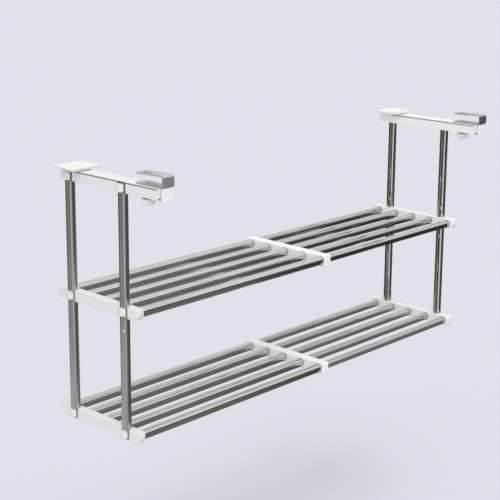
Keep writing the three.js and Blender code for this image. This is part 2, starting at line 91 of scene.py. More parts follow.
PLATE_HALF, PLATE_Y, PLATE_THICK = 25.0, (24.0, 68.0), 1.4
PLATE_CORNER_R, PLATE_EASE = 4.0, 0.35
BOSS_HALF, BOSS_Y = 7.0, (29.0, 63.0)
PAD_THICK, PAD_INSET, PAD_EASE = 1.0, 0.8, 0.25

HOOK_FRONT, HOOK_TOP, HOOK_WIDE, HOOK_THICK = -130.65, 12.2, 19.5, 1.5
HOOK_LEG, HOOK_FOOT_R, HOOK_BEND_R, HOOK_REACH = 50.0, 3.0, 4.0, 49.5
HOOK_DROOP, HOOK_TIP, HOOK_LIFT, HOOK_CORNER_R, HOOK_EASE = 2.0, 5.0, 1.2, 2.2, 0.2
HOOK_SLIDE = (-12.0, 6.0)
DIMPLES, DIMPLE_R, DIMPLE_UP, DIMPLE_LIP = (42.5, 34.5), 2.6, 1.3, 0.05

SCREW_Y, SCREW_R, SCREW_TIP_DOWN, SHANK = -94.4, 2.3, 0.2, 6.0
THREAD_DEEP, THREAD_PITCH, THREAD_END = 0.3, 0.8, 1.2
KNOB_R, KNOB_TOP, KNOB_HIGH, KNOB_FLOOR = 9.0, -20.4, 10.3, 2.4
KNOB_DOME_R, KNOB_RIM_R, NECK_R, NECK_HIGH = 5.2, 0.6, 6.0, 1.6
GRIPS, GRIP_PLACE, GRIP_R = 12, 9.9, 1.5


# Modelling by hand
def let_go():
    bpy.ops.object.select_all(action="DESELECT")


def take(piece):
    let_go()
    piece.select_set(True)
    bpy.context.view_layer.objects.active = piece


def applied(piece):
    """The object's place, turn and size go into its mesh."""
    take(piece)
    bpy.ops.object.transform_apply(location=True, rotation=True, scale=True)
    return piece


def named(name):
    piece = bpy.context.object
    piece.name = piece.data.name = name
    return applied(piece)


def around(middle, half):
    return middle - half, middle + half


def heading(degrees):
    angle = math.radians(degrees)
    return Vector((math.cos(angle), math.sin(angle), 0))


def block(name, x, y, z):
    let_go()
    bpy.ops.mesh.primitive_cube_add(size=1)
    piece = bpy.context.object
    piece.location = [(a + b) / 2 for a, b in (x, y, z)]
    piece.scale = [b - a for a, b in (x, y, z)]
    return named(name)


def laid(name, start, end):
    """The rod or cone just added is laid from start to end."""
    piece = bpy.context.object
    piece.rotation_euler = (end - start).to_track_quat("Z", "Y").to_euler()
    piece.location = (start + end) / 2
    return named(name)


def rod(name, radius, start, end, sides=48):
    start, end = Vector(start), Vector(end)
    let_go()
    bpy.ops.mesh.primitive_cylinder_add(vertices=sides, radius=radius, depth=(end - start).length)
    return laid(name, start, end)


def cone(name, start_radius, end_radius, start, end, sides=32):
    start, end = Vector(start), Vector(end)
    let_go()
    bpy.ops.mesh.primitive_cone_add(vertices=sides, radius1=start_radius, radius2=end_radius,
                                    depth=(end - start).length)
    return laid(name, start, end)


def ball(name, radius, centre):
    let_go()
    bpy.ops.mesh.primitive_uv_sphere_add(segments=32, ring_count=16, radius=radius, location=centre)
    return named(name)


def unpick(piece, kind):
    """Deselects the whole mesh, so that its edges or faces can be picked in code."""
    take(piece)
    bpy.ops.object.mode_set(mode="EDIT")
    bpy.ops.mesh.select_mode(type=kind)
    bpy.ops.mesh.select_all(action="DESELECT")
    bpy.ops.object.mode_set(mode="OBJECT")


def pick_edges(piece, wanted):
    unpick(piece, "EDGE")
    at = [corner.co for corner in piece.data.vertices]
    for edge in piece.data.edges:
        edge.select = bool(wanted(at[edge.vertices[0]], at[edge.vertices[1]]))
    bpy.ops.object.mode_set(mode="EDIT")


def pick_faces(piece, wanted):
    unpick(piece, "FACE")
    for face in piece.data.polygons:
        face.select = bool(wanted(face.center, face.normal))
    bpy.ops.object.mode_set(mode="EDIT")


def done():
    bpy.ops.object.mode_set(mode="OBJECT")


def runs(a, b, axis):
    """Whether the edge from a to b runs along the axis."""
    return abs(a[axis] - b[axis]) > LONG


def round_edges(piece, wanted, radius, steps):
    pick_edges(piece, wanted)
    bpy.ops.mesh.bevel(offset=radius, segments=steps, affect="EDGES")
    done()


def modified(piece, kind, **settings):
    take(piece)
    modifier = piece.modifiers.new(kind.lower(), kind)
    for key, value in settings.items():
        setattr(modifier, key, value)
    bpy.ops.object.modifier_apply(modifier=modifier.name)


def soften(piece, width, steps=3, angle=40):
    modified(piece, "BEVEL", width=width, segments=steps, limit_method="ANGLE",
             angle_limit=math.radians(angle), use_clamp_overlap=False)


def combine(piece, tools, operation):
    for tool in tools:
        modified(piece, "BOOLEAN", operation=operation, solver="EXACT", object=tool)
        bpy.data.objects.remove(tool)
    return piece


def cut(piece, *tools):
    return combine(piece, tools, "DIFFERENCE")


def weld(piece, *tools):
    return combine(piece, tools, "UNION")


def wire(name, points):
    """A closed outline, drawn point by point, and filled; it stays in edit mode."""
    let_go()
    bpy.ops.mesh.primitive_plane_add(size=1)
    piece = named(name)
    bpy.ops.object.mode_set(mode="EDIT")
    bpy.ops.mesh.select_mode(type="VERT")
    bpy.ops.mesh.select_all(action="SELECT")
    bpy.ops.mesh.merge(type="CENTER")
    bpy.ops.transform.translate(value=points[0])
    for before, after in zip(points, points[1:]):
        step = Vector(after) - Vector(before)
        bpy.ops.mesh.extrude_region_move(TRANSFORM_OT_translate={"value": step})
    bpy.ops.mesh.select_all(action="SELECT")
    bpy.ops.mesh.edge_face_add()
    return piece


def pull(x, y, z):
    """The picked face is drawn out by this much."""
    bpy.ops.mesh.extrude_region_move(TRANSFORM_OT_translate={"value": (x, y, z)})


def tidy_normals():
    bpy.ops.mesh.select_all(action="SELECT")
    bpy.ops.mesh.remove_doubles(threshold=0.0001)
    bpy.ops.mesh.normals_make_consistent(inside=False)
    done()


def turned(name, points, centre, axis, degrees=360, steps=64):
    """An outline swung round an axis, as on a lathe."""
    piece = wire(name, points)
    if degrees == 360:
        bpy.ops.mesh.delete(type="ONLY_FACE")
        bpy.ops.mesh.select_all(action="SELECT")
    bpy.ops.mesh.spin(steps=steps, angle=-math.radians(degrees), center=centre, axis=axis)
    tidy_normals()
    return piece


def copied(piece, name, turn=0, move=(0, 0, 0), mirror=False):
    """A copy with a mesh of its own, turned or mirrored about the shelf's middle, then moved."""
    take(piece)
    bpy.ops.object.duplicate()
    copy = bpy.context.object
    if mirror:
        copy.scale.x = -1
    copy.rotation_euler.z = math.radians(turn)
    copy.location = move
    copy = named(name)
    if mirror:
        bpy.ops.object.mode_set(mode="EDIT")
        tidy_normals()
    return copy


# The pieces
def tube_row(i):
    """Where across the shelf tube i lies, from the rear."""
    return (TUBES // 2 - i) * TUBE_PITCH


def wall(inner, outer, start, end, ease):
    """Corners of a tube wall's section, from the inner radius to the outer one, with eased lips."""
    return [(inner + ease, start), (outer - ease, start), (outer, start + ease), (outer, end - ease),
            (outer - ease, end), (inner + ease, end), (inner, end - ease), (inner, start + ease)]


def tube(name, radius, thick, x):
    points = [(along, 0, r) for r, along in wall(radius - thick, radius, *x, TUBE_LIP)]
    return turned(name, points, (0, 0, 0), (1, 0, 0), steps=56)


def post(name):
    """One post, standing at the origin, drilled for the lock pins of rails and arm."""
    bottom, top = LOWER_Z - RAIL_BELOW + POST_UP, ARM_Z[1] - ARM_ROOF - GAP
    points = [(r, 0, along) for r, along in wall(POST_R - POST_WALL, POST_R, bottom, top, POST_LIP)]
    piece = turned(name, points, (0, 0, 0), (0, 0, 1), steps=64)
    way = heading(FRONT - LOCK_ANGLE)
    # One cone makes a lock hole: the hole's radius at the wall's inside, the rim's at its outside
    slope = (HOLE_RIM_R - LOCK_HOLE_R) / POST_WALL
    for z in (LOWER_Z, UPPER_Z - HEIGHT_STEP, UPPER_Z, UPPER_Z + HEIGHT_STEP):
        height = Vector((0, 0, z))
        for end in (way, -way):
            cut(piece, cone("countersink", LOCK_HOLE_R - SINK_OVER * slope, HOLE_RIM_R + POST_WALL * slope,
                            end * (POST_R - POST_WALL - SINK_OVER) + height,
                            end * (POST_R + POST_WALL) + height))
    height = Vector((0, 0, GROOVE_Z[0] - TONGUE_HIGH / 2))
    reach = Vector((ARM_PIN_DRILL, 0, 0))
    cut(piece, rod("drill", LOCK_HOLE_R, height - reach, height + reach, sides=24))
    return piece


def swung(tool, degrees, y):
    """A tool made at the origin, turned about Z and moved to the left post at y."""
    tool.rotation_euler.z = math.radians(degrees)
    tool.location = (POST_X, y, 0)
    return applied(tool)


def tongue(y, low, high, start):
    """A springy part of the ring round a post, swung on from its free end, whose corners are rounded."""
    foot = Vector((POST_X, y, 0))
    way = heading(start + TONGUE_LEAD)
    inner = BORE_R - RING_LAP
    section = [(inner, low - OVER), (RING_R, low - OVER), (RING_R, high + OVER), (inner, high + OVER)]
    piece = turned("tongue", [foot + way * r + Vector((0, 0, z)) for r, z in section], foot, (0, 0, 1),
                   degrees=-TONGUE_SWEEP - TONGUE_LEAD, steps=30)
    outline = block("outline", TONGUE_X, TONGUE_Y, (low, high))
    round_edges(outline, lambda a, b: runs(a, b, X) and min(a.y, b.y) > -NEAR, TONGUE_CORNER_R, steps=8)
    return combine(piece, [swung(outline, start, y)], "INTERSECT")


def snap_rings(body, low, high, bore_top, bore_foot):
    """The two springy snap tongues of a rail or arm, each with a rounded free end in front of a slit."""
    half_slit = math.degrees(math.asin(SLIT_WIDE / 2 / RING_R))
    for y in (POST_Y, -POST_Y):
        weld(body, tongue(y, low, high, FRONT - SLIT_ANGLE - half_slit))
        cut(body, rod("bore", BORE_R, (POST_X, y, bore_foot), (POST_X, y, bore_top), sides=56))
        slit = block("slit", (SLIT_START, RING_R + OVER), around(0, SLIT_WIDE / 2), (bore_foot, bore_top))
        cut(body, swung(slit, FRONT - SLIT_ANGLE, y))
    return body


def pin(y, z, reach, degrees):
    """A lock pin on the inside of a ring, reaching towards the post."""
    foot = Vector((POST_X, y, z))
    way = heading(degrees)
    return rod("pin", PIN_R, foot + way * (RING_R - PIN_ROOT), foot + way * (BORE_R - reach), sides=24)


def rail(name, tube_radius, pin_reach):
    """The left rail with its tube axes at z = 0, open below."""
    bottom, top = -RAIL_BELOW, RAIL_ABOVE
    body = block(name, RAIL_X, around(0, RAIL_REACH), (bottom, top))
    round_edges(body, lambda a, b: runs(a, b, Z), RAIL_NOSE_R, steps=8)
    keel = block("keel", (RAIL_X[0] - KEEL_OVER, RAIL_X[1] + KEEL_OVER), around(0, RAIL_REACH),
                 (bottom, top + KEEL_OVER))
    round_edges(keel, lambda a, b: runs(a, b, X) and max(a.z, b.z) < bottom + NEAR, RAIL_CHIN_R, steps=10)
    combine(body, [keel], "INTERSECT")
    soften(body, RAIL_EASE)
    for middle in (TUBE_PITCH / 2, -TUBE_PITCH / 2):
        pocket = block("pocket", (RAIL_X[0] + RAIL_WALL, RAIL_X[1] - RAIL_WALL),
                       around(middle, TUBE_PITCH / 2 - OUTER_R - GAP - RIB), (bottom - OVER, top - RAIL_ROOF))
        soften(pocket, POCKET_EASE, steps=2)
        cut(body, pocket)
    snap_rings(body, top - TONGUE_DROP - TONGUE_HIGH, top - TONGUE_DROP, top + OVER, bottom - OVER)
    for y in (POST_Y, -POST_Y):
        weld(body, pin(y, 0, pin_reach, FRONT - LOCK_ANGLE))
    for i in range(TUBES):
        y = tube_row(i)
        cut(body, rod("socket", tube_radius + GAP, (RAIL_X[1] - SOCKET_DEPTH, y, 0),
                      (RAIL_X[1] + OVER, y, 0)))
    return body


def connector(name):
    """The middle connector with its tube axes at z = 0: outer tubes end in it, inner ones pass."""
    left, right = CONNECTOR_X
    body = block(name, CONNECTOR_X, around(0, CONNECTOR_REACH), (-CONNECTOR_BELOW, CONNECTOR_ABOVE))
    round_edges(body, lambda a, b: True, CONNECTOR_EDGE_R, steps=6)
    margin = OUTER_R + GAP + RIB
    for i in range(TUBES - 1):
        pocket = block("pocket", (left + CONNECTOR_WALL, right - CONNECTOR_WALL),
                       (tube_row(i + 1) + margin, tube_row(i) - margin),
                       (-CONNECTOR_BELOW - OVER, CONNECTOR_ABOVE - CONNECTOR_ROOF))
        soften(pocket, POCKET_EASE, steps=2)
        cut(body, pocket)
    for i in range(TUBES):
        y = tube_row(i)
        cut(body, rod("socket", OUTER_R + GAP, (left - OVER, y, 0), (CONNECTOR_SOCKET_X, y, 0)),
            rod("bore", INNER_R + GAP, (left, y, 0), (right + OVER, y, 0)))
    return body


def arm(name):
    """The left arm: a channel open below, with ribs, side grooves, two snap tongues and the screw's slot."""
    body = block(name, ARM_X, ARM_Y, ARM_Z)
    low, high = ARM_Z[0] - OVER, ARM_Z[1] - ARM_ROOF
    round_edges(body, lambda a, b: runs(a, b, X) and max(a.z, b.z) < ARM_Z[0] + NEAR and min(a.y, b.y) > 0,
                ARM_HEEL_R, steps=8)
    soften(body, ARM_EASE)
    for x in ((ARM_X[0] - OVER, ARM_X[0] + GROOVE_DEEP), (ARM_X[1] - GROOVE_DEEP, ARM_X[1] + OVER)):
        cut(body, block("groove", x, GROOVE_Y, GROOVE_Z))
    inner = (ARM_X[0] + ARM_WALL, ARM_X[1] - ARM_WALL)
    clear = POST_Y - RING_R - RIB
    pitch = (2 * clear + RIB) / BAYS
    for i in range(BAYS):
        start = -clear + i * pitch
        cut(body, block("bay", inner, (start, start + pitch - RIB), (low, high)))
    cut(body, block("bay", inner, (ARM_Y[0] - OVER, -POST_Y - RING_R - RIB), (low, high)))
    snap_rings(body, GROOVE_Z[0] - TONGUE_HIGH, GROOVE_Z[0], high, low)
    for y in (POST_Y, -POST_Y):
        weld(body, pin(y, GROOVE_Z[0] - TONGUE_HIGH / 2, PIN_DEEP, 180))
    slot = block("slot", (ARM_MIDDLE - SCREW_R - GAP, ARM_MIDDLE + SCREW_R + GAP),
                 (SCREW_Y + HOOK_SLIDE[0] - SCREW_R - GAP, SCREW_Y + HOOK_SLIDE[1] + SCREW_R + GAP),
                 (high - OVER, ARM_Z[1] + OVER))
    round_edges(slot, lambda a, b: runs(a, b, Z), SCREW_R + GAP - NEAR, steps=8)
    return cut(body, slot, snap_drill())


def snap_drill():
    return rod("snap_hole", SNAP_R, (ARM_X[0] - OVER, SNAP_Y, SNAP_Z), (ARM_X[1] + OVER, SNAP_Y, SNAP_Z),
               sides=20)


def end_cap(name):
    """The left arm's cap: a face with rounded corners on a hollow plug."""
    rear = ARM_Y[0] - 2 * GAP
    face = block(name, ARM_X, (rear - CAP_THICK + GAP, rear), ARM_Z)
    round_edges(face, lambda a, b: runs(a, b, Y), CAP_CORNER_R, steps=5)
    soften(face, CAP_EASE)
    left, right = ARM_X[0] + ARM_WALL + GAP, ARM_X[1] - ARM_WALL - GAP
    low, high = ARM_Z[0] + CAP_STEP, ARM_Z[1] - ARM_ROOF - GAP
    plug = block("plug", (left, right), (rear - PLUG_ROOT, ARM_Y[0] + PLUG_REACH), (low, high))
    cut(plug, block("hollow", (left + PLUG_WALL, right - PLUG_WALL),
                    (ARM_Y[0], ARM_Y[0] + PLUG_REACH + OVER), (low + PLUG_WALL, high - PLUG_WALL)))
    return weld(face, cut(plug, snap_drill()))


def rest_plate(name):
    top = -PAD_THICK - GAP
    plate = block(name, around(ARM_MIDDLE, PLATE_HALF), PLATE_Y, (top - PLATE_THICK, top))
    round_edges(plate, lambda a, b: runs(a, b, Z), PLATE_CORNER_R, steps=8)
    soften(plate, PLATE_EASE, steps=2)
    return weld(plate, block("boss", around(ARM_MIDDLE, BOSS_HALF), BOSS_Y,
                             (ARM_Z[1] + GAP, top - PLATE_THICK / 2)))


def rest_pad(name):
    pad = block(name, around(ARM_MIDDLE, PLATE_HALF - PAD_INSET),
                (PLATE_Y[0] + PAD_INSET, PLATE_Y[1] - PAD_INSET), (-PAD_THICK, 0))
    round_edges(pad, lambda a, b: runs(a, b, Z), PLATE_CORNER_R - PAD_INSET, steps=8)
    soften(pad, PAD_EASE, steps=2)
    return pad


def hook(name):
    """One strip of steel, bent by hand: leg, foot bend, web, top bend, drooping jaw and lifted tip."""
    foot = ARM_Z[1] + GAP
    jaw = HOOK_REACH - HOOK_BEND_R - HOOK_TIP
    strip = block(name, around(ARM_MIDDLE, HOOK_WIDE / 2), (HOOK_FRONT + HOOK_FOOT_R, HOOK_FRONT + HOOK_LEG),
                  (foot, foot + HOOK_THICK))
    pick_faces(strip, lambda centre, normal: normal.y < -0.9)
    bpy.ops.mesh.spin(steps=8, angle=math.pi / 2, axis=(1, 0, 0),
                      center=(ARM_MIDDLE, HOOK_FRONT + HOOK_FOOT_R, foot + HOOK_FOOT_R))
    pull(0, 0, HOOK_TOP - HOOK_BEND_R - foot - HOOK_FOOT_R)
    bpy.ops.mesh.spin(steps=10, angle=math.pi / 2, axis=(1, 0, 0),
                      center=(ARM_MIDDLE, HOOK_FRONT + HOOK_BEND_R, HOOK_TOP - HOOK_BEND_R))
    pull(0, jaw, -HOOK_DROOP)
    pull(0, HOOK_TIP, HOOK_LIFT)
    tidy_normals()
    tip = HOOK_FRONT + HOOK_REACH - LONG
    round_edges(strip, lambda a, b: runs(a, b, Z) and abs(a.x - b.x) < NEAR and min(a.y, b.y) > tip,
                HOOK_CORNER_R, steps=6)
    for inset in DIMPLES:
        y, top = HOOK_FRONT + inset, HOOK_TOP - HOOK_DROOP / jaw * (inset - HOOK_BEND_R)
        weld(strip, ball("dimple", DIMPLE_R, (ARM_MIDDLE, y, top - HOOK_THICK + DIMPLE_UP)))
        hollow = ball("hollow", DIMPLE_R, (ARM_MIDDLE, y, top + DIMPLE_UP))
        weld(hollow, block("clear", around(ARM_MIDDLE, DIMPLE_R), around(y, DIMPLE_R),
                           (top + DIMPLE_LIP, top + 2 * DIMPLE_R)))
        cut(strip, hollow)
    cut(strip, rod("screw_hole", SCREW_R + GAP, (ARM_MIDDLE, SCREW_Y, foot - OVER),
                   (ARM_MIDDLE, SCREW_Y, foot + 2 * HOOK_THICK), sides=32))
    soften(strip, HOOK_EASE, steps=2, angle=50)
    return strip


def clamp_knob(name):
    """The left knob: domed foot, grips round the side, a neck and the bore for its screw."""
    foot, rim = KNOB_TOP - KNOB_HIGH, KNOB_TOP - NECK_HIGH
    knob = rod(name, KNOB_R, (ARM_MIDDLE, SCREW_Y, foot), (ARM_MIDDLE, SCREW_Y, rim), sides=72)
    round_edges(knob, lambda a, b: max(a.z, b.z) < foot + NEAR, KNOB_DOME_R, steps=8)
    round_edges(knob, lambda a, b: min(a.z, b.z) > rim - NEAR, KNOB_RIM_R, steps=3)
    for i in range(GRIPS):
        angle = math.tau * (i + 0.5) / GRIPS
        x, y = ARM_MIDDLE + GRIP_PLACE * math.cos(angle), SCREW_Y + GRIP_PLACE * math.sin(angle)
        cut(knob, rod("grip", GRIP_R, (x, y, foot - OVER), (x, y, rim + OVER / 2), sides=20))
    weld(knob, rod("neck", NECK_R, (ARM_MIDDLE, SCREW_Y, rim - OVER), (ARM_MIDDLE, SCREW_Y, KNOB_TOP)))
    return cut(knob, rod("bore", SCREW_R + GAP, (ARM_MIDDLE, SCREW_Y, foot + KNOB_FLOOR),
                         (ARM_MIDDLE, SCREW_Y, KNOB_TOP + OVER), sides=32))


def clamp_screw(name):
    """The left screw: a plain shank in the knob, then thread ridges up to a blunt tip."""
    foot, tip = ARM_Z[0] - KNOB_HIGH + KNOB_FLOOR, ARM_Z[1] + GAP + HOOK_THICK - SCREW_TIP_DOWN
    root = SCREW_R - THREAD_DEEP
    outline = [(0, foot), (root, foot)]
    z = foot + SHANK
    # One ridge of the thread after another
    while z < tip - THREAD_END:
        outline += [(root, z), (SCREW_R, z + THREAD_DEEP), (root, z + 2 * THREAD_DEEP)]
        z += THREAD_PITCH
    outline += [(SCREW_R - 2 * THREAD_DEEP, tip), (0, tip)]
    points = [(ARM_MIDDLE + r, SCREW_Y, z) for r, z in outline]
    return turned(name, points, (ARM_MIDDLE, SCREW_Y, 0), (0, 0, 1), steps=32)


# Materials
# Painted highlight: the pale matt colour of the posts' lock holes
PAINTED_GLINT_METAL = (0.92, 0.92, 0.90, 1)
# Painted shade: the dark colour of the posts where they stand in the arms
PAINTED_SOCKET_SHADE = (0.12, 0.12, 0.115, 1)
RUBBED_METAL = (0.72, 0.72, 0.71, 1)
# Painted shade: the dark grey for the shade in the arms' grooves, seam and snap hole and on the knob's neck
PAINTED_SHADE_GREY = (0.11, 0.115, 0.12, 1)
TUBE_GRAIN, POST_GRAIN = (0.02, 1, 1), (1, 1, 0.02)
STRIP_GRAIN, SCREW_GRAIN = (1, 0.03, 1), (1, 1, 0.2)


class Value:
    """A number that varies over a surface: Python sums on it add Math nodes."""
    def __init__(self, sheet, socket):
        self.sheet, self.socket = sheet, socket

    def math(self, operation, *others):
        return self.sheet.math(operation, self, *others)

    def __add__(self, other):
        return self.sheet.math("ADD", self, other)

    def __radd__(self, other):
        return self.sheet.math("ADD", other, self)

    def __sub__(self, other):
        return self.sheet.math("SUBTRACT", self, other)

    def __rsub__(self, other):
        return self.sheet.math("SUBTRACT", other, self)

    def __mul__(self, other):
        return self.sheet.math("MULTIPLY", self, other)

    def __truediv__(self, other):
        return self.sheet.math("DIVIDE", self, other)

    def between(self, low, high):
        """0 up to low and 1 from high on, with a smooth step between; low may be the larger one."""
        return self.sheet.add("ShaderNodeMapRange", {"interpolation_type": "SMOOTHSTEP"},
                              {"Value": self, "From Min": low, "From Max": high})


class Sheet:
    """The node tree of one material or of the studio's surroundings."""
    def __init__(self, tree):
        self.tree = tree

    def add(self, kind, settings=None, sockets=None, out=0):
        """One node with its settings first, then the values or links of its sockets."""
        node = self.tree.nodes.new(kind)
        for key, value in (settings or {}).items():
            if key == "stops":
                ramp = node.color_ramp
                while len(ramp.elements) < len(value):
                    ramp.elements.new(0.5)
                for element, (place, colour) in zip(ramp.elements, value):
                    element.position, element.color = place, colour
            else:
                setattr(node, key, value)
        for key, value in (sockets or {}).items():
            if isinstance(value, Value):
                self.tree.links.new(value.socket, node.inputs[key])
            else:
                node.inputs[key].default_value = value
        return None if out is None else Value(self, node.outputs[out])

    def math(self, operation, *values):
        return self.add("ShaderNodeMath", {"operation": operation}, dict(enumerate(values)))

    def apart(self, vector):
        """The three numbers of a vector."""
        return [self.add("ShaderNodeSeparateXYZ", sockets={"Vector": vector}, out=axis) for axis in "XYZ"]

    def place(self, scale=(1, 1, 1)):
        at = self.add("ShaderNodeTexCoord", out="Object")
        return self.add("ShaderNodeMapping", sockets={"Vector": at, "Scale": scale})

    def noise(self, scale, stretch=(1, 1, 1), detail=3.0):
        return self.add("ShaderNodeTexNoise", out="Fac", sockets={
            "Vector": self.place(stretch), "Scale": scale, "Detail": detail, "Roughness": 0.55})

    def blend(self, factor, first, second):
        return self.add("ShaderNodeMix", {"data_type": "RGBA"}, {0: factor, 6: first, 7: second}, out=2)


def material(name, base, metallic=0.0, ior=1.45):
    made = bpy.data.materials.new(name)
    made.use_nodes = True
    made.diffuse_color = base
    shader = made.node_tree.nodes["Principled BSDF"]
    shader.inputs["Base Color"].default_value = base
    shader.inputs["Metallic"].default_value = metallic
    shader.inputs["IOR"].default_value = ior
    return made, Sheet(made.node_tree), shader


def feed(sheet, shader, **values):
    for key, value in values.items():
        sheet.tree.links.new(value.socket, shader.inputs[key.replace("_", " ")])


def spot(sheet):
    """Where on the shelf, in mm, as x, y and z."""
    return [number / MM for number in sheet.apart(sheet.add("ShaderNodeTexCoord", out="Object"))]


def length(across, along):
    """How far it is to a point that lies so far across and so far along."""
    return (across * across + along * along).math("SQRT")


def raised(sheet, height, strength, distance):
    return sheet.add("ShaderNodeBump", sockets={"Height": height, "Strength": strength, "Distance": distance})


def polished_steel(name, grain, base, dark, rough, metallic=1.0, upright=""):
    """Drawn stainless tube, buffed along its length: fine lines, faint smears, small colour shifts. Of the
    uprights, the walls of the lock holes are painted pale and matt, a painted highlight for the glints in
    them, and the ends in the arms are painted dark, a painted shade."""
    made, sheet, shader = material(name, base, metallic=metallic)
    lines = sheet.noise(900.0, stretch=grain, detail=2.0)
    smears = sheet.noise(38.0, detail=4.0)
    clouds = sheet.noise(9.0, detail=2.0)
    tint = sheet.blend(clouds.between(0.35, 0.7) * 0.6 + lines * 0.15, base, dark)
    roughness = rough + lines * 0.05 + smears.between(0.5, 0.75) * 0.05
    if upright:
        x, y, z = spot(sheet)
        from_axis = length(x.math("ABSOLUTE") + POST_X, y.math("ABSOLUTE") - POST_Y)
        # Painted highlight: the walls of the lock holes are painted pale and matt, for the glints seen in
        # them
        inside = 1 - from_axis.between(POST_R - 0.06, POST_R - 0.02)
        # On the left posts the painted highlight stays only on the front post, below the upper rail
        if upright == "left":
            inside = inside * z.between(UPPER_Z + 1, UPPER_Z - 1) * y.between(1, -1)
        # Painted shade: the posts are darker where they stand in the arms
        painted_socket_shade = z.between(ARM_Z[0] - 0.5, ARM_Z[0] + 0.5) * 0.6
        tint = sheet.blend(inside, sheet.blend(painted_socket_shade, tint, PAINTED_SOCKET_SHADE), PAINTED_GLINT_METAL)
        roughness = roughness + inside * 0.4 + painted_socket_shade * 0.3
        feed(sheet, shader, Metallic=1 - inside * 0.9)
    feed(sheet, shader, Base_Color=tint, Roughness=roughness,
         Normal=raised(sheet, lines, strength=0.05, distance=0.00002))
    return made


def satin_steel(name, grain, base, dark, metallic):
    """Rolled strip steel with a matt brushed face and brighter rubbed edges."""
    made, sheet, shader = material(name, base, metallic=metallic)
    lines = sheet.noise(1100.0, stretch=grain, detail=3.0)
    smears = sheet.noise(60.0, detail=4.0)
    rim = sheet.add("ShaderNodeNewGeometry", out="Pointiness").between(0.52, 0.6)
    tint = sheet.blend(lines * 0.7 + smears * 0.2, base, dark)
    feed(sheet, shader, Base_Color=sheet.blend(rim * 0.5, tint, RUBBED_METAL),
         Roughness=0.36 + lines * 0.12 + smears.between(0.45, 0.7) * 0.08 - rim * 0.1,
         Normal=raised(sheet, lines, strength=0.25, distance=0.00003))
    return made


def arm_painted_shade(sheet):
    """Painted shade in the long side grooves, in the seam at the cap and in the snap hole."""
    x, y, z = spot(sheet)
    x = x.math("ABSOLUTE")
    across = x.between(-ARM_X[0] - 0.05, -ARM_X[0] - 0.15) * x.between(-ARM_X[1] + 0.05, -ARM_X[1] + 0.15)
    along = y.between(GROOVE_Y[0] - 0.3, GROOVE_Y[0] - 0.2) * y.between(GROOVE_Y[1] + 0.3, GROOVE_Y[1] + 0.2)
    high = z.between(GROOVE_Z[0] - 0.1, GROOVE_Z[0]) * z.between(GROOVE_Z[1] + 0.1, GROOVE_Z[1])
    groove = across * along * high
    seam = y.between(ARM_Y[0] - 0.15, ARM_Y[0] - 0.1) * y.between(ARM_Y[0] + 0.5, ARM_Y[0] + 0.4)
    hole = length(y - SNAP_Y, z - SNAP_Z).between(SNAP_R + 0.2, SNAP_R + 0.1)
    return (groove * 0.75).math("MAXIMUM", seam * 0.6).math("MAXIMUM", hole)


def knob_painted_shade(sheet):
    """Painted shade on the top of the knob and on its neck, close under the arm."""
    return spot(sheet)[Z].between(KNOB_TOP - NECK_HIGH - 0.2, KNOB_TOP - NECK_HIGH) * 0.7


def moulded_plastic(name, base, shade, rough, painted_shade_mask=None):
    """Moulded white plastic: a fine orange-peel skin, faint flow lines, a little darker in hollows, and,
    where a mask is given, painted shade towards a dark grey.
    """
    made, sheet, shader = material(name, base, ior=1.5)
    skin = sheet.noise(1500.0, detail=2.0)
    flow = sheet.noise(26.0, stretch=(1, 0.35, 1), detail=4.0)
    hollow = 1 - sheet.add("ShaderNodeNewGeometry", out="Pointiness").between(0.40, 0.495)
    tint = sheet.blend(flow.between(0.3, 0.75) * 0.5 + hollow * 0.4, base, shade)
    if painted_shade_mask:
        # Painted shade: where the mask says, the tint goes towards a dark grey
        tint = sheet.blend(painted_shade_mask(sheet), tint, PAINTED_SHADE_GREY)
    feed(sheet, shader, Base_Color=tint, Roughness=rough + skin * 0.08 + flow.between(0.45, 0.7) * 0.06,
         Normal=raised(sheet, skin, strength=0.12, distance=0.00004))
    return made


def foam(name, base, shade):
    """Closed-cell cream foam: small open pores and a dusty surface."""
    made, sheet, shader = material(name, base, ior=1.4)
    cells = sheet.add("ShaderNodeTexVoronoi", out="Distance",
                      sockets={"Vector": sheet.place(), "Scale": 1400.0})
    dust = sheet.noise(120.0, detail=5.0)
    tint = sheet.blend(cells.between(0.0, 0.35) * 0.4 + dust.between(0.4, 0.7) * 0.5, base, shade)
    feed(sheet, shader, Base_Color=tint, Roughness=0.78 + dust * 0.15,
         Normal=raised(sheet, cells, strength=0.4, distance=0.00008))
    return made


tube_steel = {
    "lower outer": polished_steel("buffed_outer_tube_steel", TUBE_GRAIN, (0.62, 0.615, 0.60, 1),
                                  (0.54, 0.53, 0.51, 1), rough=0.07),
    "upper inner": polished_steel("mirror_inner_tube_steel", TUBE_GRAIN, (0.54, 0.535, 0.52, 1),
                                  (0.47, 0.46, 0.44, 1), rough=0.03),
    # Painted light: this copy of the inner tube steel is only partly metallic, so the lower tier's inner
    # tubes come out lighter on their undersides
    "lower inner": polished_steel("lower_inner_tube_steel_painted_lighter", TUBE_GRAIN, (0.51, 0.50, 0.48, 1),
                                  (0.44, 0.43, 0.405, 1), rough=0.04, metallic=0.74),
}
tube_steel["upper outer"] = tube_steel["lower outer"]
post_steel = {
    "left": polished_steel("buffed_left_post_steel", POST_GRAIN, (0.60, 0.595, 0.585, 1),
                           (0.52, 0.51, 0.50, 1), rough=0.27, upright="left"),
    "right": polished_steel("mirror_right_post_steel", POST_GRAIN, (0.62, 0.615, 0.605, 1),
                            (0.56, 0.55, 0.54, 1), rough=0.02, upright="right"),
}
